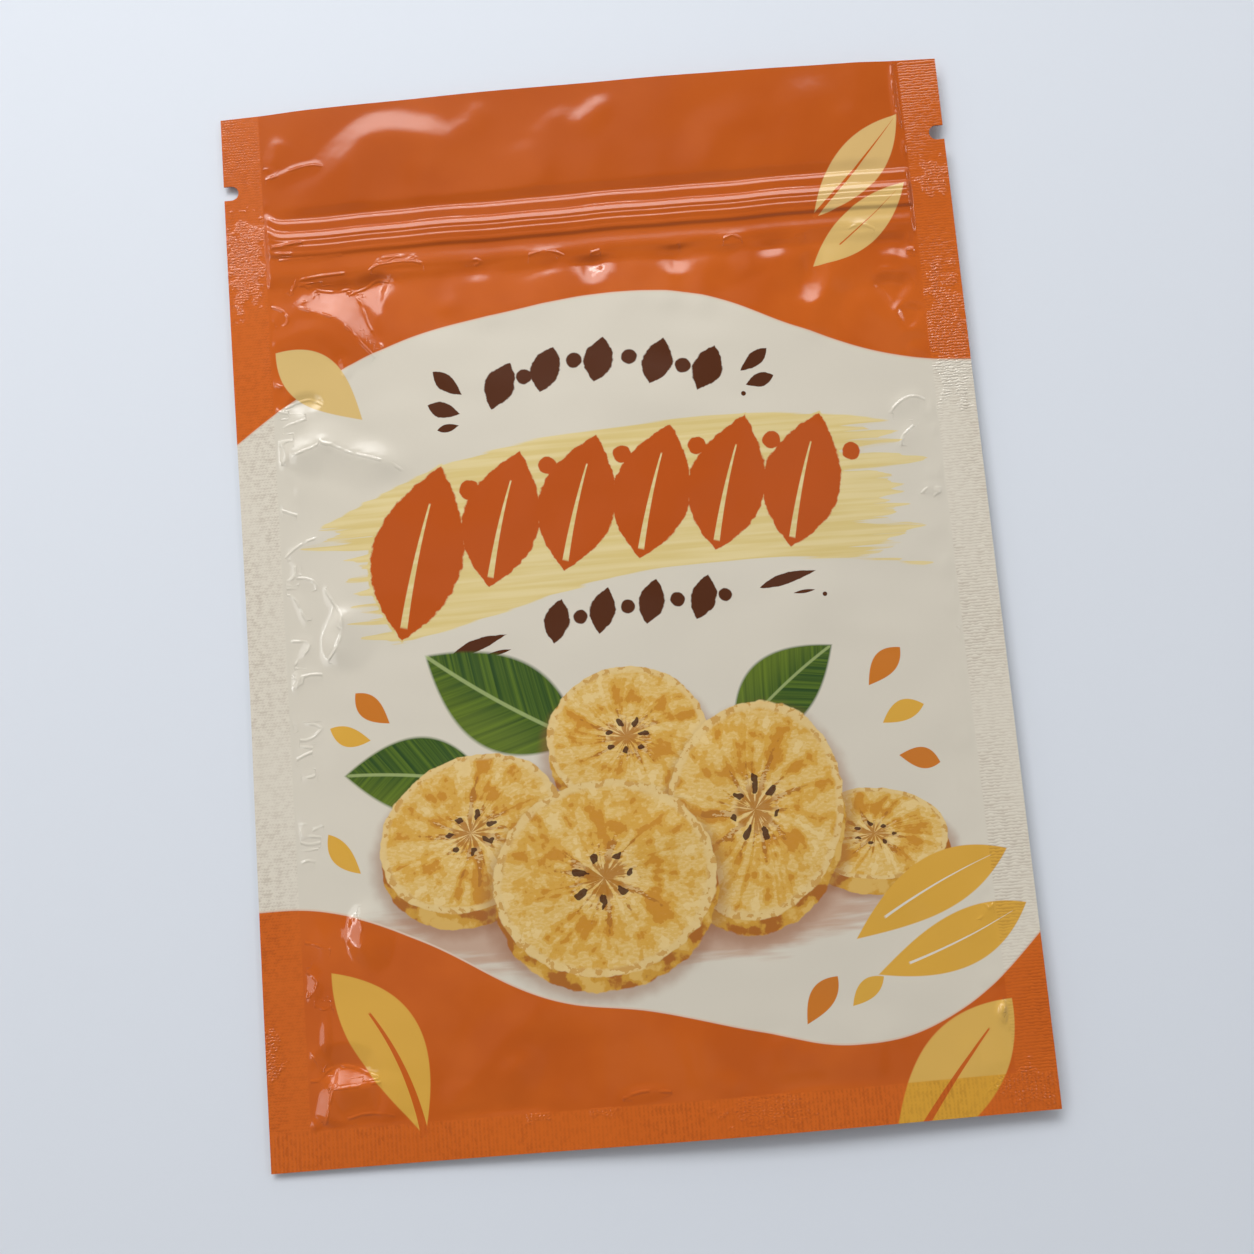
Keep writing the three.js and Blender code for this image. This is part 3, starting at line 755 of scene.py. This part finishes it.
# The broad yellow brush stroke, with ragged ends and dry streaks
band_top = edge_curve([(-75, 8), (-50, 20.6), (-30, 27.6), (0, 31.6), (20, 32.5), (45, 31), (60, 28),
                       (75, 25)])
band_foot = edge_curve([(-75, -18), (-47, -9), (-30, -5.4), (0, 1.2), (20, 2.4), (52, 0.6), (75, -4)])
streaks = noise(1.0, 2.0, stretch=(34, 1.3), turn=-10, seed=7.0)
tufts = noise(1.0, 1.0, stretch=(60, 2.4), turn=-10, seed=2.0)
left_end = x_ink + y_ink * 0.48 + 50.5 + (tufts - 0.5) * 26
right_end = (55.5 - x_ink) + (tufts - 0.5) * 22
ends = left_end.least(right_end) + (streaks - 0.5) * 9
stroke = (band_top - y_ink).least(y_ink - band_foot) + (streaks - 0.5) * 1.6
stroke = stroke.least(ends)
dry = (ends.fade(0.0, 16.0) * 0.5 + streaks - 0.46).inside(9.0)
yellow = blend((0.70, 0.545, 0.22), streaks.fade(0.3, 0.72), (0.76, 0.625, 0.315))
colour = blend(colour, stroke.inside(3.0) * dry.times_plus(0.85, 0.15), yellow)

# A garland of bold orange leaves along the stroke
bold_orange = (0.50, 0.085, 0.008)
garland = [((-43.5, -7.5), (-33.5, 27), 18.5), ((-25.5, 1.5), (-17.5, 28.5), 15.5),
           ((-10.5, 3.5), (-2, 30.5), 15.5), ((4.5, 4.5), (13, 31.5), 15.5),
           ((19.5, 5), (28, 32), 15.5), ((34.5, 4.5), (43, 31.5), 15.5)]
colour = leaves(colour, bold_orange, [(*leaf, 0.08, -0.12) for leaf in garland], rough=0.14,
                rib_ink=yellow, rib=(0.085, -0.86, 0.55), rim_ink=yellow)


def dots(colour, ink, spots, sharpness, rough):
    """Prints round dots in one ink. Each row is centre and width."""
    nearest = None
    for centre, width in spots:
        far = radius_squared(*placed(centre, (width, width)))
        nearest = far if nearest is None else nearest.least(far)
    whole = (1 - nearest) + (brush_grain - 0.5) * rough
    return blend(colour, whole.inside(sharpness), ink)


orange_berries = [((-28.2, 21.5), 4), ((-12.2, 25), 3.6), ((2.8, 26), 3.6), ((17.8, 26.5), 3.6),
                  ((32.8, 26.5), 3.6), ((48.6, 23), 3.6)]
colour = dots(colour, bold_orange, orange_berries, 5, 0.6)

# Small brown marks above and below the stroke
brown = (0.088, 0.024, 0.007)
sprigs = [((-22.6, 37.8), (-18.2, 47.2), 6, 0.1, 0), ((-12.6, 40.4), (-9.2, 49.9), 6, 0.1, 0),
          ((-1.6, 41.6), (1, 51), 6, 0, 0), ((9.4, 40.2), (13.2, 49.8), 6, -0.1, 0),
          ((19, 38.2), (23.4, 47.2), 6, -0.1, 0),
          ((-28.4, 41.4), (-34, 46.8), 3.2, 0.1, 0.3), ((-29, 37.4), (-35.4, 39.8), 3.2, 0.1, 0.3),
          ((-29.4, 35), (-33.8, 34.4), 1.7, 0, 0.2),
          ((28, 41.4), (33.8, 45.8), 2.8, -0.1, 0.3), ((28.8, 38.4), (34.6, 40), 2.8, 0, 0.3),
          ((-34, -11.6), (-22.8, -8.2), 2.3, 0.2, -0.3), ((-27.2, -12), (-22, -11.2), 0.8, 0, 0),
          ((27.6, -3.2), (38.8, -0.6), 2.2, 0.2, -0.3), ((34, -4.8), (38.4, -4.4), 0.7, 0, 0),
          ((-13.6, -10.8), (-11.4, -2.2), 5, 0.1, 0), ((-4.6, -9.6), (-2.2, -0.8), 5, 0.1, 0),
          ((4.8, -8.6), (7.4, 0.2), 5, 0, 0), ((14.6, -8.4), (17.6, 0.2), 5, -0.1, 0)]
colour = leaves(colour, brown, sprigs, sharpness=12, rough=0.3)
brown_berries = [((-15.6, 44), 3.2), ((-5.3, 46.6), 3.2), ((5.9, 46.4), 3.2), ((16.6, 43.6), 3.2),
                 ((28.2, 36.6), 1), ((40.2, -5.4), 0.9), ((-8, -6), 2.8), ((1.4, -4.8), 2.8),
                 ((11.2, -4.2), 2.8), ((20.6, -4), 2.6)]
colour = dots(colour, brown, brown_berries, 4, 0.5)

# The picture: a soft shadow, green leaves and golden rounds
shade_x, shade_y = placed((-2.0, -64.0), (112, 22))
washes = noise(1.0, 3.0, stretch=(14, 1.6), seed=9.0)
shade = (1 - radius_squared(shade_x, shade_y)) + (washes - 0.5) * 0.9
on_panel = panel.inside()
colour = blend(colour, shade.fade(-0.05, 0.55) * on_panel * 0.62, (0.46, 0.21, 0.11))

green_leaves = [((-10, -30), (-39, -11), 18, 0.10), ((-28, -37), (-56.5, -33), 15, -0.12),
                ((20, -32), (40.5, -15.5), 13.5, 0.12)]
leaf_along, leaf_across, green_mask = None, None, None
for stalk, tip, width, bend in green_leaves:
    shape, along, across = leaf_shape(stalk, tip, width, bend, -0.15)
    mask = shape.inside(12.0)
    leaf_along = along if green_mask is None else choose(leaf_along, mask, along)
    leaf_across = across if green_mask is None else choose(leaf_across, mask, across)
    green_mask = mask if green_mask is None else green_mask.most(mask)
along, across = leaf_along, leaf_across
vein_run = along * 5.5 + across.size() * -2.6
veins = (vein_run.math("FRACT") - 0.5).size().fade(0.36, 0.5)
blades = stripes(vein_run * 2.2 + across * 0.5)
green = blend((0.030, 0.072, 0.016), blades.fade(0.32, 0.75), (0.105, 0.175, 0.020))
green = blend(green, across.fade(-0.3, 0.9) * 0.45, (0.19, 0.25, 0.022))
green = blend(green, veins * 0.3, (0.02, 0.045, 0.01))
green = blend(green, (0.04 - across.size()).inside(40.0) * 0.8, (0.36, 0.44, 0.17))
colour = blend(colour, green_mask, green)

# Each golden round as centre, size and turn, from the back to the front
golden_rounds = [((-1, -30), (31, 27), 6), ((45, -52.5), (29, 17.5), -5), ((-32.5, -46), (37, 29), 22),
                 ((22.5, -46), (34, 42), -14), ((-7.5, -56.5), (43, 37), 8)]
waviness = noise(0.34, 2.0, seed=1.0) - 0.5
mottle = noise(0.20, 4.0, seed=3.0)
stains = noise(0.55, 3.0, seed=12.0)
dabs = noise(0.9, 2.0, stretch=(1.0, 0.45), turn=35, seed=9.0)
wall = blend((0.40, 0.135, 0.022), mottle.fade(0.40, 0.50), (0.60, 0.315, 0.045))
wall = blend(wall, mottle.fade(0.52, 0.60) * 0.7, (0.72, 0.47, 0.14))
pulp = blend((0.72, 0.455, 0.125), dabs.fade(0.42, 0.62) * 0.5, (0.79, 0.58, 0.25))
seed_ring, seed_turn = 0.24, 2 * math.pi / 7
for centre, size, turn in golden_rounds:
    edge_place = placed((centre[0] + 0.1, centre[1] - 2.9), size, turn)
    edge_r = radius_squared(*edge_place).math("SQRT") + waviness * 0.07
    colour = blend(colour, edge_r.fade(1.19, 1.01) * on_panel * 0.5, (0.30, 0.115, 0.045))
    colour = blend(colour, (1 - edge_r).inside(70.0), wall)
    face_x, face_y = placed(centre, size, turn)
    face_r = radius_squared(face_x, face_y).math("SQRT") + waviness * 0.06
    angle = face_y.math("ARCTAN2", face_x)
    rays = stripes(angle * 3.2 + (face_r * 0.9 + centre[0]), 3.0)
    painted = rays * 0.8 + mottle * 0.9 + stains * 0.4 - (face_r - 0.5).size() * 0.35
    flesh = blend(pulp, painted.fade(0.94, 1.02) * 0.75, (0.66, 0.345, 0.040))
    flesh = blend(flesh, painted.fade(1.08, 1.14) * 0.7, (0.55, 0.215, 0.016))
    flesh = blend(flesh, painted.fade(0.80, 0.76) * 0.7, (0.81, 0.61, 0.28))
    core = rays * 1.7 + stains * 0.7 - face_r * 1.1
    flesh = blend(flesh, core.fade(0.92, 1.02) * 0.8, (0.42, 0.16, 0.024))
    flecks = (rays * 0.5 + dabs * 0.5 - (face_r - 0.3) * 0.9).fade(0.53, 0.56)
    flesh = blend(flesh, flecks * face_r.fade(0.16, 0.26) * 0.55, (0.80, 0.60, 0.28))
    rim = face_r.fade(0.90, 0.945)
    flesh = blend(flesh, rim * 0.8, (0.76, 0.56, 0.25))
    flesh = blend(flesh, rim * stains.fade(0.55, 0.60) * 0.7, (0.56, 0.27, 0.04))
    sector = (angle * (1 / seed_turn)).math("WRAP", 0.5, -0.5) * seed_turn
    seed_far = radius_squared(sector * face_r * 1.3, face_r - seed_ring + waviness * 0.2)
    seeds = (0.0024 - seed_far).inside(2500.0)
    flesh = blend(flesh, seeds * 0.92, (0.065, 0.018, 0.008))
    colour = blend(colour, (1 - face_r).inside(80.0), flesh)

# Loose drops, and the golden leaves in the corners
drop_orange = (0.59, 0.185, 0.022)
drop_gold = (0.70, 0.385, 0.055)
orange_drops = [((47, -24), (54, -17), 4.6, 0.15, 0.3), ((-47, -23.5), (-53.5, -17), 4.4, 0.15, 0.3),
                ((51.5, -38), (59.5, -40), 4, 0.15, 0.3), ((28.6, -87), (35.2, -78.6), 4.6, 0.15, 0.3)]
gold_drops = [((49, -31.5), (57.5, -28.5), 4, 0.3, 0.2), ((-51, -26.5), (-59, -23.5), 3.8, 0.3, 0.2),
              ((-54.5, -52), (-60.5, -44), 4, 0.3, 0.2), ((37.6, -84.4), (44, -79.4), 3.6, 0.2, 0.2)]
gold_pair = [((39.5, -72), (70.5, -57.5), 10.4, 0.22, 0.25), ((43, -79), (73, -68), 10, -0.2, 0.25)]
colour = leaves(colour, drop_orange, orange_drops)
colour = leaves(colour, drop_gold, gold_drops)
colour = leaves(colour, drop_gold, gold_pair, rib_ink=cream, rib=(0.06, -0.6, 0.8))
colour = leaves(colour, (0.71, 0.47, 0.18), [((46.3, 73), (65.6, 93.8), 9.8, -0.08, 0.08)],
                rib_ink=orange, rib=(0.10, -1, 0.93))
colour = leaves(colour, (0.71, 0.47, 0.16), [((45.2, 62.6), (65.4, 78.6), 8.2, -0.12, 0)],
                rib_ink=orange, rib=(0.05, -0.45, 0.8))
colour = leaves(colour, (0.69, 0.48, 0.18), [((-66, 54), (-48.9, 38.2), 10.4, 0.10, -0.35)])
leaf_gold = blend((0.70, 0.425, 0.095), foot_seal, (0.68, 0.345, 0.035))
colour = leaves(colour, (0.71, 0.39, 0.06), [((-45.4, -102), (-61.4, -70.4), 12.8, -0.46, 0.25)],
                rib_ink=orange, rib=(0.13, -1, 0.42))
colour = leaves(colour, leaf_gold, [((41, -118), (68, -85.6), 15, 0.12, 0.45)],
                rib_ink=orange, rib=(0.13, -1, 0.66))


def carried(name):
    """A number that the mesh itself carries."""
    node = tree.nodes.new("ShaderNodeAttribute")
    node.attribute_name = name
    return Ink(tree, node.outputs["Fac"])


def waves(along, pitch):
    """Even ridges, one every pitch millimetres."""
    return (along * (2 * math.pi / pitch)).math("SINE")


def seal_relief(side_seal, foot_seal, sealed):
    """The heat seals: rows pressed by the sealing bars, beaded at the left and plain at the
    right, and coarser in patches that glitter."""
    grain = noise(0.8, 1.0, seed=6.0)
    rows = waves(y_ink + grain * 0.55, 0.6)
    beads = waves(x_ink + y_ink * 0.5 + grain * 0.8, 0.62)
    beaded = x_ink.fade(30, -30) * 0.5
    rows = rows * (beads * beaded + (1 - beaded))
    foot_lines = waves(x_ink + grain * 0.5, 0.8) * (waves(y_ink, 0.7) * 0.4 + 0.6)
    weave = choose(rows, foot_seal, foot_lines)
    pressed = noise(0.07, 2.0, stretch=(1.0, 1.6), seed=5.0).fade(0.35, 0.65)
    glitter = (carried("glitter") + noise(0.35, 2.0, seed=17.0) * 1.6).fade(1.0, 1.3)
    coarse = noise(2.1, 1.0, stretch=(1.5, 0.75), turn=30, seed=2.5)
    depth = pressed.times_plus(0.006, 0.006) + glitter * 0.026
    # painted shade: the print is darkened in the pits between the pressed rows, as if less light reached
    # them
    painted_pit_shade = (grain * 3 - 1.5 - weave).fade(-0.6, 1.3) * (pressed * 0.5 + 0.5) * sealed
    return (weave * depth + coarse * glitter * 0.12) * sealed, painted_pit_shade


# the colour that the painted shade in the seals' pits multiplies the print by
pit_shade = (0.80, 0.76, 0.74, 1)


def shaded(colour, share):
    """Darkens the print in the pits of the seals, where less light reaches."""
    node = tree.nodes.new("ShaderNodeMix")
    node.data_type, node.blend_type = "RGBA", "MULTIPLY"
    tree.links.new(share.socket, node.inputs[0])
    tree.links.new(colour, node.inputs[6])
    node.inputs[7].default_value = pit_shade
    return node.outputs[2]


film_gloss, sealed_dulling, film_ior = 0.09, 0.04, 1.62


def finish_film(relief, colour, sealed):
    """Lays the relief and the print on the film, which is duller where it is sealed."""
    bump = tree.nodes.new("ShaderNodeBump")
    bump.inputs["Strength"].default_value = 1.0
    bump.inputs["Distance"].default_value = MM
    tree.links.new(relief.socket, bump.inputs["Height"])
    tree.links.new(bump.outputs[0], gloss.inputs["Normal"])
    dulled = sealed.times_plus(sealed_dulling, film_gloss)
    tree.links.new(dulled.socket, gloss.inputs["Roughness"])
    tree.links.new(colour, gloss.inputs["Base Color"])
    gloss.inputs["IOR"].default_value = film_ior


# The free film: slight orange peel, and a hard line along the crest of each crease
peel = noise(0.42, 1.0, seed=8.0)
line_gap = carried("crest_gap") * 2.2
line = (1 - line_gap * line_gap).most(0.0)
broken = noise(0.35, 1.0, seed=15.0).fade(0.3, 0.6)
pinch = line * line * carried("near_crest") * broken
pressed_seal, painted_pit_shade = seal_relief(side_seal, foot_seal, sealed)
finish_film(pressed_seal + peel * 0.016 + pinch * 0.10, shaded(colour, painted_pit_shade), sealed)
front.data.materials.clear()
front.data.materials.append(film)
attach(front, "root")
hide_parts("pouch")

# ---------------------------------------------------------------------------------------
# The back sheet: the same film, printed plain. It lies flat on the table under the belly
# and hangs clear of it at the seals.
# ---------------------------------------------------------------------------------------
def back_height(x, up):
    folds = front_folds(-x, up)[0]
    free = (seam_height(x, up) - film_thickness - back_drop * pillow(x, up)
            - 0.6 * zipper_relief(x, up) - lip_relief(x, up) - 0.4 * folds)
    pushed_down = front_height(x, up)[0] - 2 * film_thickness - table_gap
    return np.clip(np.minimum(free, pushed_down), table_gap, None), None


back_columns = spaced([(-half_width, 0), (-67.4, 4), (-66.6, 2), (-44, 36), (44, 60), (66.6, 36), (67.4, 2),
                      (half_width, 4)])
back_rows = spaced([(0, 0), (6.9, 4), (7.7, 2), (30, 28), (150, 100), (175.4, 36), (176.8, 4), (180.6, 4),
                    (186.4, 14), (188.0, 3), (188.8, 3), (side_length, 14)])
back = film_sheet("back_sheet", back_columns, back_rows, back_height, film_thickness, -1)
cut_notches(back)
back_film, tree, gloss, where, x_ink, y_ink = film_material("printed_back")
side_seal, foot_seal, sealed = seal_places()
colour, panel = printed_ground()
pressed_seal, painted_pit_shade = seal_relief(side_seal, foot_seal, sealed)
finish_film(pressed_seal + noise(0.42, 1.0, seed=8.0) * 0.016, shaded(colour, painted_pit_shade), sealed)
back.data.materials.clear()
back.data.materials.append(back_film)
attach(back, "root")
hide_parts("pouch")

# ---------------------------------------------------------------------------------------
# The table: a plain pale surface that the pouch lies on.
# ---------------------------------------------------------------------------------------
bm = bmesh.new()
bmesh.ops.create_grid(bm, x_segments=1, y_segments=1, size=1.5)
table_mesh = bpy.data.meshes.new("table")
bm.to_mesh(table_mesh)
bm.free()
table = bpy.data.objects.new("table", table_mesh)
bpy.context.scene.collection.objects.link(table)
table_paint = bpy.data.materials.new("table")
table_paint.use_nodes = True
table_gloss = table_paint.node_tree.nodes["Principled BSDF"]
table_gloss.inputs["Base Color"].default_value = (0.72, 0.762, 0.83, 1)
table_gloss.inputs["Roughness"].default_value = 0.6
table_mesh.materials.append(table_paint)

# ---------------------------------------------------------------------------------------
# Light: a soft window beyond the mouth, soft lamps at the left and the right, a fill lamp
# overhead, and a plain grey surround.
# ---------------------------------------------------------------------------------------
def softbox(name, place, aim, size, power, colour=(1, 1, 1)):
    data = bpy.data.lights.new(name, "AREA")
    data.shape = "RECTANGLE"
    data.size, data.size_y = size
    data.energy = power
    data.color = colour
    lamp = bpy.data.objects.new(name, data)
    lamp.location = place
    lamp.rotation_euler = (Vector(aim) - Vector(place)).to_track_quat("-Z", "Y").to_euler()
    bpy.context.scene.collection.objects.link(lamp)
    return lamp


softbox("window_core", (-0.35, 1.30, 1.0), (-0.35, 1.30, 0), (1.4, 0.08), 4.6)
softbox("left_lamp", (-0.84, 0.05, 1.0), (-0.84, 0.05, 0), (0.36, 0.9), 1.65)
softbox("left_core", (-1.0, 0.10, 0.99), (-1.0, 0.10, 0), (0.05, 1.0), 1.7)
softbox("right_lamp", (0.9, 0.35, 1.0), (0.9, 0.35, 0), (0.15, 0.9), 1.0)
softbox("right_core", (0.93, 0.30, 0.99), (0.93, 0.30, 0), (0.05, 0.8), 1.2)
top_fill = softbox("top_fill", (-0.13, 0.40, 0.49), (0, 0, 0), (0.4, 0.3), 1.6)
top_fill.visible_glossy = False
world = bpy.data.worlds.new("studio")
bpy.context.scene.world = world
world.use_nodes = True
sky = world.node_tree
background = sky.nodes["Background"]
heading = sky.nodes.new("ShaderNodeTexCoord").outputs["Generated"]
parts = sky.nodes.new("ShaderNodeSeparateXYZ")
sky.links.new(heading, parts.inputs[0])
sky_x, sky_y, sky_z = (Ink(sky, parts.outputs[i]) for i in range(3))
height_up = sky_z.most(0.05)
towards_window = (sky_y * 0.94 - sky_x * 0.34).math("DIVIDE", height_up)
glow = towards_window.fade(0.45, 1.1)
room = sky.nodes.new("ShaderNodeTexNoise")
room.inputs["Scale"].default_value = 3.2
room.inputs["Detail"].default_value = 1.0
sky.links.new(heading, room.inputs["Vector"])
panels = Ink(sky, room.outputs[0]).fade(0.44, 0.60)
# how far to the right and towards the mouth a direction leans, for each unit that it rises
sky_u = sky_x.math("DIVIDE", height_up)
sky_v = sky_y.math("DIVIDE", height_up)
window = sky_u.fade(-1.3, -0.9) * sky_u.fade(0.60, 0.25) * sky_v.fade(0.66, 0.92) * sky_v.fade(1.4, 1.1)
away = (sky_u * sky_u + sky_v * sky_v).fade(0.6, 2.4)
overhead = glow * 0.5 + window * 3.8 + away * 0.12 + panels * 0.10 + 0.11
low_down = sky_z.fade(0.28, 0.16)
brightness = (0.52 - overhead).times_plus(low_down, overhead)
sky.links.new(brightness.socket, background.inputs["Strength"])
background.inputs["Color"].default_value = (0.98, 0.98, 0.98, 1)
bpy.context.scene.view_settings.view_transform = "Standard"

# ---------------------------------------------------------------------------------------
# Camera: almost straight above, turned a little.
# ---------------------------------------------------------------------------------------
target = Vector((0.9, -8.3, 2.0)) * MM
azimuth, elevation, roll = math.radians(-2.65), math.radians(83.17), math.radians(-2.18)
distance = 0.249
backwards = Vector((math.sin(azimuth) * math.cos(elevation), -math.cos(azimuth) * math.cos(elevation),
                    math.sin(elevation)))
right = Vector((0, 0, 1)).cross(backwards).normalized()
upwards = backwards.cross(right)
turned_right = math.cos(roll) * right + math.sin(roll) * upwards
turned_up = math.cos(roll) * upwards - math.sin(roll) * right
camera_data = bpy.data.cameras.new("camera")
camera_data.lens = 36
camera_data.sensor_width = 36
camera_data.clip_start = 0.01
camera = bpy.data.objects.new("camera", camera_data)
camera.matrix_world = Matrix((
    (turned_right.x, turned_up.x, backwards.x, target.x + backwards.x * distance),
    (turned_right.y, turned_up.y, backwards.y, target.y + backwards.y * distance),
    (turned_right.z, turned_up.z, backwards.z, target.z + backwards.z * distance),
    (0, 0, 0, 1),
))
bpy.context.scene.collection.objects.link(camera)
bpy.context.scene.camera = camera
